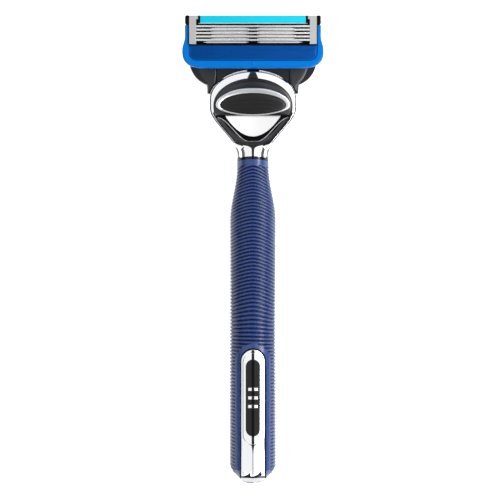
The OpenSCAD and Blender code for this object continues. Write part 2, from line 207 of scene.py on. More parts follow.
def apply_modifiers(obj):
    depsgraph = bpy.context.evaluated_depsgraph_get()
    mesh = bpy.data.meshes.new_from_object(obj.evaluated_get(depsgraph))
    obj.modifiers.clear()
    old = obj.data
    obj.data = mesh
    bpy.data.meshes.remove(old)


def bevel(obj, width):
    mod = obj.modifiers.new("bevel", "BEVEL")
    mod.width = width * MM
    mod.segments = 2
    mod.limit_method = "ANGLE"
    mod.angle_limit = math.radians(40)
    mod.harden_normals = False


def cut(obj, *cutters):
    """Takes the cutters' volumes away from a piece."""
    for cutter in cutters:
        mod = obj.modifiers.new("cut", "BOOLEAN")
        mod.operation = "DIFFERENCE"
        mod.solver = "EXACT"
        mod.object = cutter
    apply_modifiers(obj)
    for cutter in cutters:
        bpy.data.objects.remove(cutter)


def loft(rings, wrap=True, start=True, end=True):
    """Skins a row of rings of equal length."""
    n = len(rings[0])
    verts = [p for ring in rings for p in ring]
    faces = []
    for i in range(len(rings) - 1):
        for j in range(n if wrap else n - 1):
            k = (j + 1) % n
            faces.append((i * n + j, i * n + k, (i + 1) * n + k, (i + 1) * n + j))
    if start:
        faces.append(tuple(reversed(range(n))))
    if end:
        faces.append(tuple(range((len(rings) - 1) * n, len(rings) * n)))
    return verts, faces


def joined(*parts):
    """Several (verts, faces) as one."""
    verts, faces = [], []
    for part_verts, part_faces in parts:
        base = len(verts)
        verts.extend(part_verts)
        faces.extend(tuple(base + i for i in face) for face in part_faces)
    return verts, faces


def resample(points, count, closed=True):
    """Points spread evenly along a line."""
    line = points + [points[0]] if closed else points
    marks = [0.0]
    for a, b in zip(line, line[1:]):
        marks.append(marks[-1] + math.dist(a, b))
    out = []
    k = 0
    for i in range(count):
        want = marks[-1] * i / (count if closed else count - 1)
        while k < len(marks) - 2 and marks[k + 1] < want:
            k += 1
        span = marks[k + 1] - marks[k]
        t = (want - marks[k]) / span if span else 0.0
        out.append(tuple(mix(p, q, t) for p, q in zip(line[k], line[k + 1])))
    return out


def inset(outline, amount):
    """An anticlockwise outline moved inwards by amount(x, y) at each point."""
    n = len(outline)
    out = []
    for i, (x, y) in enumerate(outline):
        ax, ay = outline[i - 1]
        bx, by = outline[(i + 1) % n]
        first = Vector((x - ax, y - ay)).normalized()
        second = Vector((bx - x, by - y)).normalized()
        normal = Vector((-(first.y + second.y), first.x + second.x))
        if normal.length < 1e-9:
            normal = Vector((-first.y, first.x))
        normal.normalize()
        scale = 1.0 / max(0.5, normal.dot(Vector((-first.y, first.x))))
        d = amount(x, y)
        out.append((x + normal.x * d * scale, y + normal.y * d * scale))
    return out


def soft_plate(outline, low, high, r_low, r_high, steps=5):
    """A plate with rounded edges. Each height and radius may be a function of the point."""
    def value(v, x, y):
        return v(x, y) if callable(v) else v

    rings = []
    for i in range(steps + 1):
        a = math.pi / 2 * i / steps
        ring = inset(outline, lambda x, y: value(r_low, x, y) * (1 - math.sin(a)))
        rings.append([(px, py, value(low, x, y) + value(r_low, x, y) * (1 - math.cos(a)))
                      for (px, py), (x, y) in zip(ring, outline)])
    for i in range(steps + 1):
        a = math.pi / 2 * i / steps
        ring = inset(outline, lambda x, y: value(r_high, x, y) * (1 - math.cos(a)))
        rings.append([(px, py, value(high, x, y) - value(r_high, x, y) * (1 - math.sin(a)))
                      for (px, py), (x, y) in zip(ring, outline)])
    return loft(rings)


def prism(outline, low, high):
    return loft([[(x, y, low) for x, y in outline], [(x, y, high) for x, y in outline]])


def box_mesh(low, high):
    (x0, y0, z0), (x1, y1, z1) = low, high
    return prism([(x0, y0), (x1, y0), (x1, y1), (x0, y1)], z0, z1)


def arc_points(cx, cy, r, start, stop, count):
    """Points on a circle from one angle to another, in degrees."""
    return [(cx + r * math.cos(math.radians(mix(start, stop, i / count))),
             cy + r * math.sin(math.radians(mix(start, stop, i / count))))
            for i in range(count + 1)]


def round_box(x0, y0, x1, y1, r, count):
    corners = ((x1 - r, y0 + r, -90), (x1 - r, y1 - r, 0),
               (x0 + r, y1 - r, 90), (x0 + r, y0 + r, 180))
    return [p for cx, cy, a in corners for p in arc_points(cx, cy, r, a, a + 90, count)]


# ---------- materials ----------

def material(name, base, rough, metallic=0.0, *, tint=0.04, rough_span=0.06, grain=900.0,
             bump=0.00001, stretch=(1, 1, 1), specular=0.5):
    """A principled surface with fine variation of colour and gloss and a slight bump.

    grain is features per metre, and stretch draws the grain out along an axis.
    """
    mat = bpy.data.materials.new(name)
    mat.use_nodes = True
    nodes = mat.node_tree.nodes
    links = mat.node_tree.links
    shader = nodes["Principled BSDF"]
    shader.inputs["Metallic"].default_value = metallic
    shader.inputs["Specular IOR Level"].default_value = specular
    where = nodes.new("ShaderNodeTexCoord")
    scale = nodes.new("ShaderNodeMapping")
    scale.inputs["Scale"].default_value = [grain * s for s in stretch]
    links.new(where.outputs["Object"], scale.inputs["Vector"])
    fine = nodes.new("ShaderNodeTexNoise")
    fine.inputs["Scale"].default_value = 1.0
    fine.inputs["Detail"].default_value = 4.0
    links.new(scale.outputs["Vector"], fine.inputs["Vector"])
    broad = nodes.new("ShaderNodeTexNoise")
    broad.inputs["Scale"].default_value = 140.0
    broad.inputs["Detail"].default_value = 2.0
    links.new(where.outputs["Object"], broad.inputs["Vector"])
    colour = nodes.new("ShaderNodeMix")
    colour.data_type = "RGBA"
    colour.inputs["A"].default_value = tuple(c * (1 - 2 * tint) for c in base[:3]) + (1.0,)
    colour.inputs["B"].default_value = base
    links.new(broad.outputs["Fac"], colour.inputs["Factor"])
    links.new(colour.outputs["Result"], shader.inputs["Base Color"])
    gloss = nodes.new("ShaderNodeMapRange")
    gloss.inputs["To Min"].default_value = max(0.0, rough - rough_span)
    gloss.inputs["To Max"].default_value = rough + rough_span
    links.new(fine.outputs["Fac"], gloss.inputs["Value"])
    links.new(gloss.outputs["Result"], shader.inputs["Roughness"])
    relief = nodes.new("ShaderNodeBump")
    relief.inputs["Strength"].default_value = 0.6
    relief.inputs["Distance"].default_value = bump
    links.new(fine.outputs["Fac"], relief.inputs["Height"])
    links.new(relief.outputs["Normal"], shader.inputs["Normal"])
    return mat


def darken(mat, fade, dark):
    """Blends a surface's colour from dark, where fade is 0, to its own, where fade is 1."""
    links = mat.node_tree.links
    shader = mat.node_tree.nodes["Principled BSDF"]
    own = shader.inputs["Base Color"].links[0].from_socket
    blend = mat.node_tree.nodes.new("ShaderNodeMix")
    blend.data_type = "RGBA"
    blend.inputs["A"].default_value = dark
    links.new(fade, blend.inputs["Factor"])
    links.new(own, blend.inputs["B"])
    links.new(blend.outputs["Result"], shader.inputs["Base Color"])


def darken_below(mat, low, high, dark):
    """Darkens a surface between two heights, fully at the lower one."""
    nodes = mat.node_tree.nodes
    links = mat.node_tree.links
    where = nodes.new("ShaderNodeTexCoord")
    axes = nodes.new("ShaderNodeSeparateXYZ")
    links.new(where.outputs["Object"], axes.inputs["Vector"])
    depth = nodes.new("ShaderNodeMapRange")
    depth.inputs["From Min"].default_value = low * MM
    depth.inputs["From Max"].default_value = high * MM
    links.new(axes.outputs["Z"], depth.inputs["Value"])
    darken(mat, depth.outputs["Result"], dark)
    return mat


def support_material():
    """Bent steel, bright beside the strips, with painted shade making it dark down in the slots
    between them.
    """
    mat = material("support", (0.97, 0.97, 0.98, 1), 0.42, 1.0, grain=3000,
                   stretch=(0.03, 1, 1), bump=0.0000005)
    # Painted shade: below the strips' level the steel is coloured near black for the shade in the
    # slots.
    return darken_below(mat, CART_Z + 3.9, CART_Z + 4.2, (0.01, 0.01, 0.01, 1))


def plating(name):
    """Bright polished plating."""
    return material(name, (0.93, 0.935, 0.95, 1), 0.05, 1.0, tint=0.01, rough_span=0.02,
                    grain=600, bump=0.0000004)


def ring_material():
    """Bright plating on top, with a painted dark reflection colouring it near black down the sides.
    """
    # Painted reflection: below the top the plating is coloured near black, as if it mirrored dark
    # surroundings.
    return darken_below(plating("ring"), 7.2, 7.8, (0.02, 0.02, 0.022, 1))


def grip_material():
    """Blue rubber, with painted shade darkening it down in the grooves."""
    mat = material("grip", srgb(40, 62, 116), 0.27, tint=0.08, grain=2500, bump=0.000003,
                   rough_span=0.08)
    nodes = mat.node_tree.nodes
    height = nodes.new("ShaderNodeAttribute")
    height.attribute_name = "rib"
    shade = nodes.new("ShaderNodeValToRGB")
    shade.color_ramp.elements[0].position = 0.1
    shade.color_ramp.elements[1].position = 0.8
    mat.node_tree.links.new(height.outputs["Fac"], shade.inputs["Fac"])
    # Painted shade: each point's height on its rib darkens the colour towards the groove bottoms.
    darken(mat, shade.outputs["Color"], srgb(8, 17, 50))
    return mat


M = {
    "chrome": plating("chrome"),
    "ring": ring_material(),
    "bezel": material("bezel", (0.86, 0.87, 0.88, 1), 0.3, 1.0, tint=0.03, grain=1500,
                      bump=0.000001),
    "grip": grip_material(),
    "gloss_black": material("gloss_black", srgb(16, 16, 17), 0.1, tint=0.05, grain=1500,
                            bump=0.0000004, specular=0.3),
    "liner": material("liner", srgb(10, 10, 11), 0.12, tint=0.1, grain=1800, bump=0.0000006,
                      specular=0.25, rough_span=0.03),
    "charcoal": material("charcoal", srgb(40, 40, 43), 0.24, tint=0.1, grain=2200, bump=0.0000015,
                         specular=0.35),
    "hood": material("hood", srgb(34, 34, 37), 0.2, tint=0.1, grain=2200, bump=0.0000012),
    "slider": material("slider", srgb(40, 40, 42), 0.45, tint=0.1, grain=2500, bump=0.000004),
    "pad": material("pad", srgb(24, 24, 25), 0.3, tint=0.12, grain=3500, bump=0.000003,
                    specular=0.3),
    "spring": material("spring", (0.55, 0.55, 0.56, 1), 0.25, 1.0, grain=3000),
    "housing": material("housing", srgb(10, 10, 11), 0.2, tint=0.1, grain=2500, bump=0.0000008,
                        specular=0.25),
    "frame": material("frame", srgb(0, 104, 187), 0.26, tint=0.05, grain=2200, bump=0.000002,
                      specular=0.08),
    "guard": material("guard", srgb(0, 82, 160), 0.55, tint=0.07, grain=3000, bump=0.000004,
                      specular=0.12),
    "holder": material("holder", srgb(176, 208, 212), 0.4, grain=2200),
    "lube": material("lube", srgb(8, 182, 206), 0.4, tint=0.03, grain=3000, bump=0.000004,
                     specular=0.12),
    "clip": material("clip", (0.74, 0.74, 0.745, 1), 0.36, 1.0, tint=0.05, grain=5000,
                     stretch=(1, 0.06, 1), bump=0.0000015),
    "edge": material("edge", (0.97, 0.97, 0.98, 1), 0.18, 1.0, tint=0.01, grain=3000,
                     stretch=(0.03, 1, 1), bump=0.0000003),
    "support": support_material(),
    "cap": material("cap", (0.44, 0.45, 0.47, 1), 0.3, 1.0, grain=1800, bump=0.000001),
    # Painted highlight: bright metal for the bead along the window's rim
    "rim_highlight": material("rim_highlight", (0.62, 0.62, 0.64, 1), 0.2, 1.0, grain=1500),
}


# ---------- handle ----------

def handle_frame(s):
    """Centre (y, z) and slope of the handle's axis, s along it from the handle's end."""
    if s <= TAIL_LEN:
        return TAIL_Y + s * math.cos(TAIL_SLOPE), TAIL_Z + s * math.sin(TAIL_SLOPE), TAIL_SLOPE
    if s <= TAIL_LEN + ARC_LEN:
        slope = TAIL_SLOPE - (s - TAIL_LEN) / ARC_R
        return ARC_CY - ARC_R * math.sin(slope), ARC_CZ + ARC_R * math.cos(slope), slope
    t = s - TAIL_LEN - ARC_LEN
    return ARC_Y1 + t * math.cos(NECK_SLOPE), TAPER_Z - t * math.sin(NECK_SLOPE), -NECK_SLOPE


def on_handle(s, angle, r):
    """A point at angle round the handle from its front, r from the axis."""
    y, z, slope = handle_frame(s)
    out = r * math.cos(angle)
    return r * math.sin(angle), y - out * math.sin(slope), z + out * math.cos(slope)


def grip_radius(s):
    if s < TAIL_LEN:
        stops = ((0.0, BUTT_R - 0.1), (0.5, BUTT_R + 0.1), (3.3, 6.2), (TAIL_LEN, GRIP_R))
        for (s0, r0), (s1, r1) in zip(stops, stops[1:]):
            if s <= s1:
                return mix(r0, r1, (s - s0) / (s1 - s0))
    t = (s - TAIL_LEN - ARC_LEN) / TAPER_LEN
    return GRIP_R - (GRIP_R - COLLAR_R - 0.07) * ease(t / 0.92)


def arch_half(y, width, top):
    """Half width at y of an opening with straight sides and a round top."""
    r = width / 2
    if y <= top - r:
        return r
    return math.sqrt(max(0.0, r * r - (y - top + r) ** 2))


def arch_distance(x, y, width, top):
    """How far a point is outside that opening, negative inside."""
    r = width / 2
    if y <= top - r:
        return abs(x) - r
    return math.hypot(x, y - top + r) - r


def opening_angle(s, r, width, top):
    """Angle at which a ring of the handle meets the opening's edge."""
    angle = 0.0
    for _ in range(8):
        y = on_handle(s, angle, r)[1]
        angle = math.asin(min(1.0, arch_half(y, width, top) / r))
    return angle


def rib_height(s, angle, x, y):
    """From 0 in a groove to 1 on a rib: a slow screw, raised in the middle of the upper grip."""
    front = math.cos(angle)
    peak = 1.0 - (math.sin(angle) ** 2 + 0.01) ** 0.75 if front > 0 else 0.0
    rise = 2.0 * ease((s - 42) / 16)
    turn = angle / (2 * math.pi)
    phase = (s - rise * peak) / RIB_PITCH + turn
    wave = 0.5 + 0.5 * math.cos(2 * math.pi * phase)
    top_band = ease((s - (GRIP_LEN - 2.0)) / 0.4)
    end_band = 1 - ease((s - 1.2) / 0.8)
    near = 1 - ease((arch_distance(x, y, SPINE_W + 2 * SPINE_GAP, SPINE_TOP + SPINE_GAP)
                     - BORDER_W) / 0.25)
    if front <= 0:
        near = 0.0
    return mix(1 - (1 - wave) ** 1.8, 0.9, max(top_band, end_band, near))


def grip_stations():
    """Places of the sleeve's sections, crowded together at the top of its opening."""
    step = RIB_PITCH / 10
    top = SPINE_TOP + SPINE_GAP
    apex = min((abs(on_handle(i * 0.01, 0, GRIP_R)[1] - top), i * 0.01)
               for i in range(3000, 6000))[1]
    stations = [0.5 + step * i for i in range(int((GRIP_LEN - 0.5) / step))] + [GRIP_LEN]
    stations += [apex - 0.004 * k * k for k in range(9)]
    return sorted(stations)


def grip_mesh():
    """The ribbed sleeve with its opening, and how high each point stands on its rib."""
    around = 200
    width = SPINE_W + 2 * SPINE_GAP
    top = SPINE_TOP + SPINE_GAP
    rings, heights = [], []
    for s in grip_stations():
        base = grip_radius(s)
        edge = opening_angle(s, base, width, top)
        ring, row = [], []
        for j in range(around + 1):
            angle = mix(edge, 2 * math.pi - edge, j / around)
            x, y, _ = on_handle(s, angle, base)
            rib = rib_height(s, angle, x, y) if s > 0.6 else 1.0
            ring.append(on_handle(s, angle, base - RIB_DEPTH * (1 - rib)))
            row.append(rib)
        if edge > 1e-4 and base > CORE_R + 0.3:
            ring = [on_handle(s, edge, CORE_R)] + ring + [on_handle(s, -edge, CORE_R)]
        else:
            ring = [ring[0]] + ring + [ring[-1]]
        rings.append(ring)
        heights += [row[0]] + row + [row[-1]]
    rings.append([on_handle(GRIP_LEN, 2 * math.pi * (j - 1) / around, 3.3)
                  for j in range(around + 3)])
    heights += [1.0] * (around + 3)
    return loft(rings, wrap=False, start=False, end=False), heights


def spine_surface(x, y, radius, rise=0.0):
    """The point above (x, y) on a bar of that radius bent to the handle's arc."""
    s = y
    for _ in range(6):
        got = on_handle(s, math.asin(x / radius), radius + rise)
        s += y - got[1]
    return on_handle(s, math.asin(x / radius), radius + rise)


def cosine_rows(y_low, y_high, rows, dense_low=False):
    """Stations that crowd together towards the top, and the bottom if asked."""
    if dense_low:
        return [mix(y_low, y_high, 0.5 - 0.5 * math.cos(math.pi * i / rows))
                for i in range(rows + 1)]
    return [mix(y_low, y_high, math.sin(math.pi / 2 * i / rows)) for i in range(rows + 1)]


def shaped_strip(stations, half, radius, depth, edge_r, columns, distance, shape=None, warp=None):
    """A strip that follows the handle's front, with rounded edges.

    half(y) is its half width and distance(x, y) is below zero inside its outline. shape(x, y)
    gives a rise or a groove on its face, and warp(x, y) moves its points along the handle.
    """
    rings = []
    for y in stations:
        h = max(half(y), 0.01)
        ring = []
        for j in range(columns + 1):
            u = 2 * j / columns - 1
            x = h * math.sin(u * math.pi / 2)
            gap = max(0.0, -distance(x, y))
            lip = 0.0
            if gap < edge_r:
                lip = -(edge_r - math.sqrt(max(0.0, edge_r ** 2 - (edge_r - gap) ** 2)))
            face = shape(x, y) if shape else 0.0
            along = warp(x, y) if warp else y
            ring.append(spine_surface(x, along, radius, lip + face))
        ring.insert(0, spine_surface(-h, y, radius, -depth))
        ring.append(spine_surface(h, y, radius, -depth))
        rings.append(ring)
    return loft(rings)


def pill_half(y):
    """Half width of the insert at y."""
    r = INSERT_W / 2
    near = min(max(y, INSERT_Y[0] + r), INSERT_Y[1] - r)
    return math.sqrt(max(0.0, r * r - (y - near) ** 2))


def pill_distance(x, y, width, low, high):
    """How far a point is outside a pill shape, negative inside."""
    r = width / 2
    near = min(max(y, low + r), high - r)
    return math.hypot(x, y - near) - r


def spine_face(x, y):
    """The engraved line round the insert and the shallow flutes below it."""
    groove = abs(pill_distance(x, y, 6.3, INSERT_Y[0] - 2.5, INSERT_Y[1] + 2.0))
    face = -0.08 * math.exp(-(groove / 0.12) ** 2)
    flute = 1 - ease((y - 8.5) / 3.5)
    face += 0.035 * flute * math.cos(2 * math.pi * x / FLUTE_PITCH)
    return face


def torn_end(x, y):
    """Moves the spine's lower edge up in two notched arches either side of the middle."""
    side = abs(x)
    notch = ease((side - 0.25) / 0.2) * (1 - ease((side - 2.85) / 0.2))
    notch *= 0.5 + 0.9 * abs(math.cos(math.pi * (side - 0.6) / 1.9))
    return y + notch * (1 - ease((y - SPINE_LOW) / 2.5))


def make_spine():
    step = 0.07
    straight_end = 37.0
    stations = [SPINE_LOW + step * i for i in range(int((straight_end - SPINE_LOW) / step))]
    stations += cosine_rows(straight_end, SPINE_TOP, 30)
    spine = shaped_strip(
        stations, lambda y: arch_half(y, SPINE_W, SPINE_TOP), SPINE_R, 1.2, 0.25, 72,
        lambda x, y: max(arch_distance(x, y, SPINE_W, SPINE_TOP), SPINE_LOW - y), spine_face,
        torn_end)
    place(add_mesh("spine", *spine, M["chrome"], crease=60), "handle", "plated_metal",
          "handle_core")


def make_shadow_gap():
    """A dark strip, set back, that shows under the spine's lower edge: painted shadow in the gap
    there.
    """
    # Painted shadow: gloss black fills the gap under the spine's notched edge.
    shadow_gap = shaped_strip([mix(1.9, 5.2, i / 24) for i in range(25)], lambda y: SPINE_W / 2 - 0.05,
                          SPINE_R - 0.75, 0.4, 0.05, 24,
                          lambda x, y: abs(x) - SPINE_W / 2 + 0.05)
    place(add_mesh("spine_shadow_gap", *shadow_gap, M["liner"]), "handle", "gloss_black")


def make_insert():
    stations = cosine_rows(INSERT_Y[0], INSERT_Y[1], 160, dense_low=True)
    insert = shaped_strip(stations, pill_half, SPINE_R + 0.05, 0.5, 0.22, 24,
                          lambda x, y: pill_distance(x, y, INSERT_W, *INSERT_Y))
    place(add_mesh("insert", *insert, M["gloss_black"], crease=60), "handle", "gloss_black",
          "spine_insert")
    bars = []
    half_x, half_y = BAR_HALF
    for i in (-1, 0, 1):
        middle = BAR_Y + i * BAR_PITCH
        rows = cosine_rows(middle - half_y, middle + half_y, 16, dense_low=True)
        bars.append(shaped_strip(rows, lambda y: half_x, SPINE_R + 0.13, 0.2, 0.12, 24,
                                 lambda x, y, m=middle: max(abs(x) - half_x, abs(y - m) - half_y)))
    place(add_mesh("bars", *joined(*bars), M["chrome"], crease=60), "handle", "bar_metal",
          "insert_bars")


def turned(profile, s0, count=64):
    """A piece turned on the handle's axis from (distance along, radius) pairs."""
    return loft([[on_handle(s0 + s, 2 * math.pi * j / count, r) for j in range(count)]
                 for s, r in profile])


def make_end_cap():
    """The plug in the handle's end."""
    plug = turned(((2.65, 0.4), (2.65, 3.3), (0.6, BUTT_R - 0.02), (0.4, BUTT_R - 0.05),
                   (0.15, BUTT_R - 0.25), (0.02, BUTT_R - 0.6), (0.0, 2.4), (0.0, 0.4)), 0.0)
    # Its front is fluted in line with the spine
    rings = []
    for i in range(17):
        s = mix(0.3, 2.35, i / 16)
        r = max(grip_radius(s) - 0.12, BUTT_R + 0.05)
        ring = [on_handle(s, -0.6, 2.4)]
        for j in range(49):
            x = mix(-SPINE_W / 2, SPINE_W / 2, j / 48)
            flute = 0.06 * math.cos(2 * math.pi * x / FLUTE_PITCH)
            ring.append(on_handle(s, math.asin(x / r), r - 0.06 + flute))
        ring.append(on_handle(s, 0.6, 2.4))
        rings.append(ring)
    place(add_mesh("end_cap_face", *joined(plug, loft(rings)), M["cap"], crease=40), "handle",
          "plated_metal", "end_cap")


def make_collar():
    """The black ring between the sleeve and the neck."""
    collar = turned(((0.0, 3.3), (0.0, 4.6), (0.12, COLLAR_R - 0.03), (0.3, COLLAR_R),
                     (COLLAR_LEN - 0.3, COLLAR_R), (COLLAR_LEN - 0.1, COLLAR_R - 0.05),
                     (COLLAR_LEN, 4.6), (COLLAR_LEN, 3.3)), GRIP_LEN, 72)
    place(add_mesh("collar", *collar, M["gloss_black"]), "handle", "gloss_black", "neck_collar")


def make_handle():
    (points, faces), heights = grip_mesh()
    grip = add_mesh("grip", points, faces, M["grip"], crease=50, ribs=heights)
    place(grip, "handle", "grip_rubber", "grip_sleeve")
    make_spine()
    make_shadow_gap()
    make_insert()
    make_end_cap()
    make_collar()


# ---------- neck ----------

def frame_width(y):
    """Half width of the ring's outline at y."""
    if y < CART_Y - 11.5:
        return mix(NECK_R, HEAD_HALF, ease((y - CART_Y + 26.5) / 15))
    if y < OVAL_Y:
        return HEAD_HALF
    return HEAD_HALF * math.sqrt(max(0.0, 1 - ((y - OVAL_Y) / 8.8) ** 2))


def inside_frame(x, y):
    return NECK_Y <= y < CART_Y - 0.2 and abs(x) < frame_width(y)


def inside_liner(x, y):
    tall = LINER_LOW if y < LINER_MID else LINER_UP
    half = LINER_HALF * math.sqrt(max(0.0, 1 - ((y - LINER_MID) / tall) ** 2))
    return abs(x) < min(half, frame_width(y) - LINER_GAP)


def reach(inside, angle):
    """How far out from the middle of the head an outline lies."""
    near, far = 0.0, 20.0
    for _ in range(30):
        mid = (near + far) / 2
        if inside(mid * math.cos(angle), RING_MID + mid * math.sin(angle)):
            near = mid
        else:
            far = mid
    return near


def crown(q, power, drop):
    """How far a face has dropped at a fraction q of the way to its edge."""
    return drop * (1 - max(0.0, 1 - q ** power) ** (1 / power))


def ring_heights(x, y, r, inner, outer):
    """The ring's top and underside at a point r from the middle of the head."""
    around_head = ease((y - RING_MID + 3) / 6)
    q = min(1.0, mix(abs(x) / frame_width(y), r / outer, around_head))
    from_edge = (1 - q) * mix(frame_width(y), outer, around_head)
    head = ease((y - 101) / 4)
    middle = mix(NECK_Z, HEAD_Z, head)
    half = mix(NECK_R, HEAD_Z, head)
    top = middle + half - crown(q, mix(2.1, 70, head ** 3), mix(NECK_R, 2.4, head))
    # The top falls away either side of the middle, with a sharper crease at its outer edge
    soft = mix(2.1, 0.55, (r - inner) / (outer - inner))
    top -= 0.09 * (math.hypot(x, soft) - soft) * head * ease((y - RING_MID) / 4)
    top -= CHAMFER_SLOPE * max(0.0, RING_CHAMFER - from_edge) * ease((y - 99) / 5)
    bottom = middle - half + crown(q, mix(2.1, 9, head ** 1.5), mix(NECK_R, 2.0, head))
    return top, bottom


def ring_section(a):
    """The ring's section at angle a from the middle of the head."""
    steps = 24
    lip = 0.05
    outer, inner = reach(inside_frame, a), reach(inside_liner, a)
    radii = [inner] + [mix(inner + lip, outer, 1 - (1 - k / steps) ** 2.2)
                       for k in range(steps + 1)]
    above, below = [], []
    for k, r in enumerate(radii):
        x, y = r * math.cos(a), RING_MID + r * math.sin(a)
        top, bottom = ring_heights(x, y, r, inner, outer)
        drop = 0.1 if k == 0 else 0.0
        above.append((x, y, top - drop))
        below.append((x, y, bottom + drop))
    wall = [(above[0][0], above[0][1], z) for z in (2.0, 5.0)]
    # The neck's end is square to the handle's axis
    return [(x, y + (z - NECK_Z) * math.tan(NECK_SLOPE) * (1 - ease((y - 98.5) / 5)), z)
            for x, y, z in above + list(reversed(below)) + wall]


def ring_mesh():
    """The plated ring: a band between two outlines, rounded above and below, that fills the neck.

    Its sections fan out from the middle of the head and crowd together towards the neck.
    """
    count = 400
    crowding = 0.7
    rings = []
    for i in range(count):
        a = 2 * math.pi * (i + 0.5) / count
        rings.append(ring_section(a - crowding * math.cos(a)))
    rings.append(rings[0])
    return loft(rings, start=False, end=False)


def liner_outline(gap):
    """The ring's opening as an outline, moved inwards by gap."""
    count = 144
    points = []
    for i in range(count):
        a = 2 * math.pi * i / count
        tall = LINER_LOW if math.sin(a) < 0 else LINER_UP
        y = LINER_MID + (tall - gap) * math.sin(a)
        x = min(abs((LINER_HALF - gap) * math.cos(a)), frame_width(y) - LINER_GAP - gap)
        points.append((math.copysign(x, math.cos(a)), y))
    return points


def make_ring():
    """The plated ring, cut away underneath for the connector."""
    ring = add_mesh("ring", *ring_mesh(), M["ring"], crease=40)
    cut(ring, add_mesh("bay", *box_mesh((-30, CART_Y - 7.4, -2), (30, CART_Y + 4, 5.8)), M["ring"]))
    smooth(ring, 40)
    place(ring, "handle", "plated_metal", "neck_ring")


def make_hood():
    """The domed charcoal deck that the button slides on."""
    line = [(x, max(y, CART_Y - 14.05)) for x, y in resample(liner_outline(0.05), 240)]
    levels = ((1.0, DECK_Z), (1.0, 8.15), (0.985, 8.3), (0.95, 8.45), (0.9, 8.62), (0.8, 8.85),
              (0.65, 9.05), (0.45, 9.15), (0.2, 9.2))
    rings = [[(x * q, LINER_MID + (y - LINER_MID) * q, z) for x, y in line] for q, z in levels]
    place(add_mesh("hood", *loft(rings), M["hood"], crease=50), "handle", "charcoal_plastic",
          "button_hood")


def make_facets(path):
    """Below the button the liner falls away in facets from the window's rim."""
    rings = []
    for x, y in path:
        angle = math.atan2(y - RING_MID, x)
        near = math.hypot(x, y - RING_MID)
        far = reach(inside_liner, angle) - 0.04
        ring = []
        for t, z in ((0.0, 7.7), (0.0, 8.4), (0.08, 8.45), (0.5, 8.3), (0.85, 8.0), (1.0, 7.7)):
            r = mix(near, far, t)
            ring.append((r * math.cos(angle), RING_MID + r * math.sin(angle), z))
        rings.append(ring)
    place(add_mesh("liner_facets", *loft(rings), M["charcoal"], crease=20), "handle",
          "charcoal_plastic")


def make_rim_highlight(path):
    """The bright line along the window's rim: a bead of bright metal as a painted highlight on the
    black liner's edge.
    """
    rings = []
    for i, (x, y) in enumerate(path):
        ax, ay = path[max(0, i - 1)]
        bx, by = path[min(len(path) - 1, i + 1)]
        side = Vector((-(by - ay), bx - ax)).normalized()
        rings.append([(x + side.x * 0.15 * math.cos(a), y + side.y * 0.15 * math.cos(a),
                       8.47 + 0.1 * math.sin(a)) for a in (2 * math.pi * j / 8 for j in range(8))])
    # Painted highlight: the bead's bright metal stands for light caught on the liner's edge.
    place(add_mesh("window_rim_highlight", *loft(rings), M["rim_highlight"]), "handle", "liner_plastic")


def rim_y(x):
    """Where the window's rim runs."""
    return CART_Y - 21.9 + 7.3 * ease((abs(x) - 1.2) / 9.8)


def make_neck():
    make_ring()
    make_hood()
    rim = [(x, rim_y(x)) for x in (mix(-10.8, 10.8, i / 90) for i in range(91))]
    make_facets(rim)
    make_rim_highlight(rim)


# ---------- connector ----------

def beside_ring(start, stop, count):
    """Points just outside the ring's oval front, from one angle to another, in degrees."""
    return [(13.65 * math.cos(a), OVAL_Y + 9.15 * math.sin(a))
            for a in (math.radians(mix(start, stop, i / count)) for i in range(count + 1))]


def wing_mesh(side):
    """A domed cover between the ring's side and the connector's round outer edge."""
    rows, columns = 48, 32
    low, tip = 3.02, CART_Y - 7.2
    outer = arc_points(11.4, CART_Y + 3, 8.03, -10.05, -69, 30)
    outer = resample(outer + [(14.05, CART_Y - 5.4), (13.98, tip)], rows + 1, closed=False)
    inner = [(11.3, CART_Y + 1.6), (11.15, CART_Y), (11.2, CART_Y - 1.8)]
    inner += [p for p in beside_ring(44, 13, 16) if p[0] > 11.4] + [(13.85, tip)]
    inner = resample(inner, rows + 1, closed=False)
    rings = []
    for (ix, iy), (ox, oy) in zip(inner, outer):
        ring = [(side * ix, iy, low), (side * ix, iy, 7.7)]
        for k in range(columns + 1):
            u = mix(0.02, 1.0, 1 - (1 - k / columns) ** 2.5)
            top = mix(7.9, 7.35, u)
            ring.append((side * mix(ix, ox, u), mix(iy, oy, u),
                         low + (top - low) * (1 - u ** 5) ** 0.4))
        rings.append(ring)
    return loft(rings)


def make_wings():
    """Domed covers on the connector: two wings and, between them and the ring, a hub."""
    for side, name in ((-1, "wing_left"), (1, "wing_right")):
        place(add_mesh(name, *wing_mesh(side), M["charcoal"], crease=75), "connector",
              "charcoal_plastic")
    hub = beside_ring(141, 39, 40) + [(10.75, CART_Y + 0.5), (-10.75, CART_Y + 0.5)]
    hub = list(reversed(resample(hub, 160)))
    place(add_mesh("hub", *soft_plate(hub, 6.6, 8.0, 0.05, 0.3, steps=4), M["charcoal"], crease=50),
          "connector", "charcoal_plastic")


# ---------- button ----------

def lens(half, up, down):
    """An oval that reaches further towards the cartridge than towards the handle."""
    count = 160
    points = []
    for i in range(count):
        a = 2 * math.pi * i / count
        tall = down if math.sin(a) < 0 else up
        points.append((half * math.cos(a), LINER_MID + tall * math.sin(a)))
    return points


def make_bezel(inner):
    """The silver rim, from the pad's outline outwards."""
    outer = lens(11.25, 5.3, 3.1)
    profile = ((0.0, 9.42), (0.0, 10.2), (0.03, 10.45), (0.12, 10.62), (0.3, 10.69), (0.6, 10.66),
               (0.85, 10.5), (1.0, 10.25), (1.0, 9.5))
    rings = [[(mix(a[0], b[0], t), mix(a[1], b[1], t), z) for a, b in zip(outer, inner)]
             for t, z in profile]
    rings.append(rings[0])
    bezel = loft(rings, start=False, end=False)
    place(add_mesh("bezel", *bezel, M["bezel"], crease=60), "button", "bezel_metal", "button_bezel")


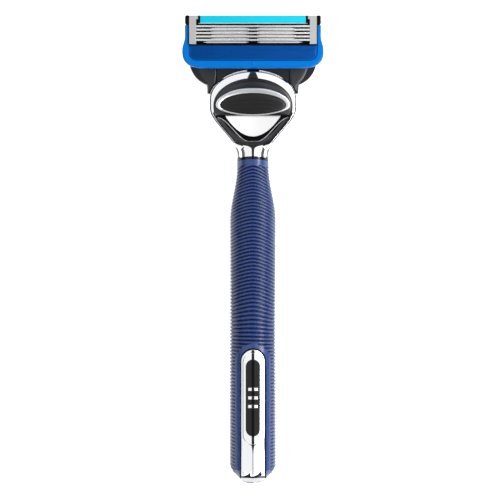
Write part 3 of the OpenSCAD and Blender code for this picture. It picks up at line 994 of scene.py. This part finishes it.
def make_pad(inner):
    """The domed rubber pad, with three low ridges for the thumb."""
    steps = 27
    middle = LINER_MID + 0.35
    rings = [[(x, y, 10.2) for x, y in inner], [(x, y, 10.45) for x, y in inner]]
    for k in range(1, steps):
        t = k / steps
        ring = []
        for x, y in inner:
            px = x * (1 - t)
            py = mix(y, middle, t)
            dome = 0.55 * math.sqrt(1 - (1 - t) ** 4)
            ridge = 0.0
            for line in (-0.75, 0.45, 1.6):
                off = py - (middle + line - 0.012 * px * px)
                ridge += 0.09 * math.exp(-(off / 0.16) ** 2)
            ridge *= ease((t - 0.08) / 0.12) * (1 - ease((abs(px) - 5.5) / 1.5))
            ring.append((px, py, 10.45 + dome + ridge))
        rings.append(ring)
    place(add_mesh("pad", *loft(rings), M["pad"], crease=60), "button", "pad_rubber", "button_pad")


def make_button():
    inner = lens(9.9, 3.5, 2.6)
    make_bezel(inner)
    make_pad(inner)


# ---------- cartridge ----------

def cart(x, v, w):
    """A point of the cartridge's own frame, with y from the handle's end."""
    return x, CART_Y + v, CART_Z + w


def lift(part):
    """A piece drawn in the cartridge's own frame, moved to its place."""
    verts, faces = part
    return [cart(*p) for p in verts], faces


def mirror_outline(right):
    """Closes an outline whose right half runs from the bottom to the top."""
    return right + [(-x, y) for x, y in reversed(right) if x > 1e-6]


def rail_half(v):
    """Half width of the blue frame at v."""
    if v < 5:
        return 14.6 + 6.8 * max(0.0, 1 - ((5 - v) / 4.9) ** 2.5) ** 0.4
    return 20.6 + 0.8 * (1 - ease((v - 5.5) / 4))


def rail_outline():
    """The blue frame from above: a broad foot with a rail up each side."""
    foot = [0.1 + 4.9 * (1 - math.cos(math.pi / 2 * i / 28)) for i in range(29)]
    right = [(0.0, 0.1), (7.0, 0.1)]
    right += [(rail_half(v), v) for v in foot]
    right += [(rail_half(v), v) for v in (5 + 8.02 * i / 30 for i in range(1, 31))]
    right += [(19.5, 13.02)]
    right += arc_points(17.0, 4.75, 2.5, 0, -90, 14)
    return mirror_outline(right + [(7.0, 2.25), (0.0, 2.25)])


def make_frame():
    """The blue frame and the nub in the middle of its foot."""
    def edge(x, v):
        inner = 2.2 < v < 13 and abs(x) < 19.6
        return 0.18 if inner or v > 13 else mix(0.7, 0.35, ease((v - 3) / 4))

    shell = add_mesh("frame_rail", *lift(soft_plate(rail_outline(), 0.2, 4.7, 0.18, edge, steps=6)),
                     M["frame"], crease=40)
    place(shell, "cartridge", "blue_plastic", "cartridge_frame")
    rings = [[(r * math.cos(a), 1.3 + r * math.sin(a), w) for a in
              (2 * math.pi * k / 24 for k in range(24))]
             for r, w in ((0.5, 4.6), (0.48, 4.74), (0.38, 4.8), (0.2, 4.83))]
    place(add_mesh("frame_nub", *lift(loft(rings)), M["frame"]), "cartridge", "blue_plastic")


def without_repeats(points):
    """A line of points with those left out that lie on the one before."""
    out = []
    for point in points:
        if not out or math.dist(point, out[-1]) > 1e-6:
            out.append(point)
    return out


def make_guard():
    """A soft base with fine rounded fins."""
    base = [(x, min(v, 6.88)) for x, v in round_box(-19.45, 2.3, 19.45, 12, 2.5, 8)]
    parts = [soft_plate(without_repeats(base), 2.6, 4.45, 0.05, 0.15, steps=2)]
    fins = 11
    for i in range(fins):
        v = 2.75 + 3.85 * i / (fins - 1)
        half = 18.9 - 2.2 * (1 - ease((v - 2.3) / 1.6)) ** 2
        rings = []
        for x in (-half, -half + 0.15, half - 0.15, half):
            tall = 0.4 if abs(x) < half - 0.01 else 0.1
            rings.append([(x, v + 0.11 * math.cos(a), 4.4 + tall * math.sin(a))
                          for a in (math.pi * k / 8 for k in range(9))])
        parts.append(loft(rings))
    place(add_mesh("guard", *lift(joined(*parts)), M["guard"], crease=50), "cartridge",
          "guard_rubber", "fin_guard")


def make_strip():
    """The soft lubricating bar, with a dark slot at each end."""
    section = [(math.cos(a), math.sin(a)) for a in (2 * math.pi * k / 40 for k in range(40))]
    ends = ((LUBE_HALF, 0.8), (LUBE_HALF - 0.05, 0.9), (LUBE_HALF - 0.2, 1.0))
    rings = []
    for x, size in [(-x, size) for x, size in ends] + list(reversed(ends)):
        ring = []
        for c, t in section:
            v = LUBE_V + 1.01 * math.copysign(abs(c) ** 0.45, c) * mix(0.97, 1, size)
            w = LUBE_W + 0.44 * math.copysign(abs(t) ** 0.7, t) * size
            ring.append((x, v, w))
        rings.append(ring)
    place(add_mesh("strip", *lift(loft(rings)), M["lube"], crease=50), "cartridge", "lube_polymer",
          "lube_strip")
    stops = joined(*(box_mesh((min(side * 16.0, side * 16.5), 13.6, 4.2),
                              (max(side * 16.0, side * 16.5), 15.85, 5.05)) for side in (-1, 1)))
    place(add_mesh("strip_stops", *lift(stops), M["housing"]), "cartridge", "housing_plastic")


def make_cartridge():
    make_frame()
    make_guard()
    make_strip()


# ---------- blades ----------

def across(section, half, taper=0.0):
    """A bar along the blades with an outline in v and w, thinned over taper at both ends."""
    middle = [sum(p[k] for p in section) / len(section) for k in (0, 1)]
    stops = ((-half, 1.0), (half, 1.0))
    if taper:
        stops = ((-half, 0.15), (taper - half, 1.0), (half - taper, 1.0), (half, 0.15))
    return loft([[(x, mix(middle[0], v, size), mix(middle[1], w, size)) for v, w in section]
                 for x, size in stops])


def shelf(v0, v1, w, half, taper):
    """A flat ledge in two halves, with a gap in the middle, tilted a little."""
    lean = 0.06
    section = [(v0, w + lean), (v1, w - lean), (v1, w - lean - 0.1), (v0, w + lean - 0.1)]
    middle = (GAP_HALF + half) / 2
    verts, faces = across(section, (half - GAP_HALF) / 2, taper)
    return joined(*(([(x + side * middle, v, w) for x, v, w in verts], faces) for side in (-1, 1)))


def edge_section(edge, along, under):
    """A ground strip: two bevels to the edge and a square back."""
    return [edge, edge + 0.16 * along - 0.012 * under, edge + 0.3 * along, edge + STRIP_W * along,
            edge + STRIP_W * along + 0.1 * under, edge + 0.24 * along + 0.1 * under]


def edge_mesh(edge, along, under, spots):
    """A ground strip with a row of welds on it."""
    parts = [across(edge_section(edge, along, under), BLADE_HALF)]
    centre = edge + 0.46 * along
    for i in range(12):
        x = (i - 5.5) * WELD_PITCH + spots.uniform(-0.05, 0.05)
        rings = []
        for r, rise in ((0.09, 0), (0.05, 0.015)):
            rings.append([(x + r * math.cos(a), centre.x + r * math.sin(a) * along.x,
                           centre.y + r * math.sin(a) * along.y + rise)
                          for a in (2 * math.pi * k / 10 for k in range(10))])
        parts.append(loft(rings))
    return joined(*parts)


def support_mesh(n, edge, along, under):
    """A platform under the strip, a leg down to its foot, and a ledge behind the strip.

    The first support has no ledge, and the last has a second one before its edge.
    """
    leg_v, leg_low = edge.x + LEG_V, 2.2
    platform = [edge + 0.3 * along + 0.1 * under, edge + STRIP_W * along + 0.1 * under,
                Vector((leg_v, 4.5)), Vector((leg_v, 4.36)), edge + 0.3 * along + 0.22 * under]
    leg = [(leg_v - LEG_HALF, 4.5), (leg_v + LEG_HALF, 4.44),
           (leg_v + LEG_HALF, leg_low), (leg_v - LEG_HALF, leg_low)]
    front = edge.x - 0.7 if n == 5 else leg_v
    back = min(edge.x + 1.4, POCKET_WALL)
    foot = [(front, leg_low), (back, leg_low), (back, leg_low + 0.12), (front, leg_low + 0.12)]
    parts = [across(platform, BLADE_HALF), across(leg, BLADE_HALF), across(foot, FOOT_HALF)]
    if n > 1:
        parts.append(shelf(leg_v, edge.x + SHELF_END, 4.45, FOOT_HALF, 1.6))
    if n == 5:
        parts.append(shelf(edge.x - 0.6, edge.x - 0.12, 4.3, 15.0, 1.2))
    return joined(*parts)


def make_blades():
    tilt = math.radians(22)
    along = Vector((math.cos(tilt), -math.sin(tilt)))
    under = Vector((-math.sin(tilt), -math.cos(tilt)))
    spots = random.Random(5)
    for n in range(1, 6):
        edge = Vector((FIRST_EDGE - (n - 1) * BLADE_PITCH, 5.0))
        strip = lift(edge_mesh(edge, along, under, spots))
        place(add_mesh(f"edge_{n}", *strip, M["edge"], crease=25), f"blade_{n}",
              "blade_steel", f"blade_edge_{n}")
        support = lift(support_mesh(n, edge, along, under))
        place(add_mesh(f"support_{n}", *support, M["support"], crease=30), f"blade_{n}",
              "support_steel", f"blade_support_{n}")


# ---------- springs ----------

def coil(x, span, r):
    """A coil of round wire, r from its axis to the outside of the wire."""
    steps = SPRING_TURNS * 20
    rings = []
    for i in range(steps + 1):
        t = i / steps
        a = 2 * math.pi * SPRING_TURNS * t
        cx, cz = x + (r - WIRE_R) * math.cos(a), SPRING_Z + (r - WIRE_R) * math.sin(a)
        cy = mix(span[0] + WIRE_R, span[1] - WIRE_R, t)
        ring = []
        for j in range(8):
            b = 2 * math.pi * j / 8
            ring.append((cx + WIRE_R * math.cos(b) * math.cos(a), cy + WIRE_R * math.sin(b),
                         cz + WIRE_R * math.cos(b) * math.sin(a)))
        rings.append(ring)
    return loft(rings)


def make_spring(name, x, span, r, node):
    spring = add_mesh(name, *coil(x, span, r), M["spring"])
    return place(spring, "handle", "spring_steel", node)


def make_springs():
    left = make_spring("spring_left", -SPRING_X, BUTTON_SPRING_Y, 0.88, "button_spring_left")
    right = make_spring("spring_right", SPRING_X, BUTTON_SPRING_Y, 0.88, "button_spring_right")
    push = make_spring("spring_plunger", 0, PLUNGER_SPRING_Y, 1.02, "plunger_spring")
    for spring in (left, right):
        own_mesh(spring)
    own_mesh(push)


# ---------- pieces kept from the CAD model ----------

def dress_cad():
    """Materials and softened edges for the pieces that stay as the CAD model has them."""
    dressed = {
        "neck_liner": ("liner", 0.06),
        "back_cover": ("liner", 0.12),
        "eject_button": ("slider", 0.08),
        "plunger": ("slider", 0.1),
        "yoke": ("charcoal", 0.35),
        "cartridge_housing": ("housing", 0.08),
        "strip_holder": ("holder", 0.08),
        "clip_left": ("clip", 0.1),
        "clip_right": ("clip", 0.1),
    }
    for node, (name, width) in dressed.items():
        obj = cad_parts[node]
        obj.data.materials.clear()
        obj.data.materials.append(M[name])
        bevel(obj, width)


# ---------- stage ----------

def area_light(name, place_m, aim_m, size, radiance):
    """A soft box of a given brightness, whatever its size."""
    data = bpy.data.lights.new(name, "AREA")
    data.shape = "RECTANGLE"
    data.size, data.size_y = size
    data.energy = radiance * math.pi * size[0] * size[1]
    obj = bpy.data.objects.new(name, data)
    bpy.context.scene.collection.objects.link(obj)
    obj.location = place_m
    obj.rotation_euler = (Vector(aim_m) - Vector(place_m)).to_track_quat("-Z", "Y").to_euler()


def make_floor():
    """A white floor that glows a little."""
    size = 1.5
    mesh = bpy.data.meshes.new("floor")
    mesh.from_pydata([(-size, -size, 0), (size, -size, 0), (size, size, 0), (-size, size, 0)], [],
                     [(0, 1, 2, 3)])
    floor = bpy.data.objects.new("floor", mesh)
    bpy.context.scene.collection.objects.link(floor)
    mat = material("floor", (0.8, 0.8, 0.8, 1), 0.8, tint=0.002, grain=60, specular=0.0)
    shader = mat.node_tree.nodes["Principled BSDF"]
    shader.inputs["Emission Color"].default_value = (1, 1, 1, 1)
    shader.inputs["Emission Strength"].default_value = 0.8
    mesh.materials.append(mat)


def make_lights():
    """Wide soft boxes overhead with a dark gap along the razor, narrower beyond its head."""
    span = 0.9
    height = 0.5
    split = 0.3
    for name, side, radiance in (("left", -1, 0.95), ("right", 1, 1.15)):
        for part, gap, low, high in (("box", 0.06, -span, split), ("head_box", 0.02, split, span)):
            middle = (side * (span + gap) / 2, (low + high) / 2)
            area_light(f"{name}_{part}", (*middle, height), (*middle, 0), (span - gap, high - low),
                       radiance)
        # Upright panels fill the plated edges that look sideways
        area_light(f"{name}_panel", (side * span, 0, 0.33), (0, 0, 0.33), (1.8, 0.34), 0.12)
    # A narrow brighter strip on the right draws the highlight down the grip
    area_light("key_strip", (0.42, 0, 0.42), (0, 0, 0.005), (1.4, 0.16), 9.0)


def make_world():
    world = bpy.data.worlds.new("studio")
    world.use_nodes = True
    world.node_tree.nodes["Background"].inputs["Color"].default_value = (1, 1, 1, 1)
    world.node_tree.nodes["Background"].inputs["Strength"].default_value = 0.03
    bpy.context.scene.world = world


def make_camera():
    """A camera straight above that takes in a set width at the height of the cartridge."""
    sensor = 36
    distance = 0.9
    level = 0.01
    width = 0.152
    data = bpy.data.cameras.new("camera")
    data.sensor_width = sensor
    data.lens = sensor * (distance - level) / width
    camera = bpy.data.objects.new("camera", data)
    bpy.context.scene.collection.objects.link(camera)
    camera.location = (-0.0009, 0.0, distance)
    bpy.context.scene.camera = camera


def make_stage():
    make_floor()
    make_lights()
    make_world()
    make_camera()
    bpy.context.scene.view_settings.view_transform = "Standard"


make_handle()
make_neck()
make_wings()
make_button()
make_cartridge()
make_blades()
make_springs()
dress_cad()
make_stage()
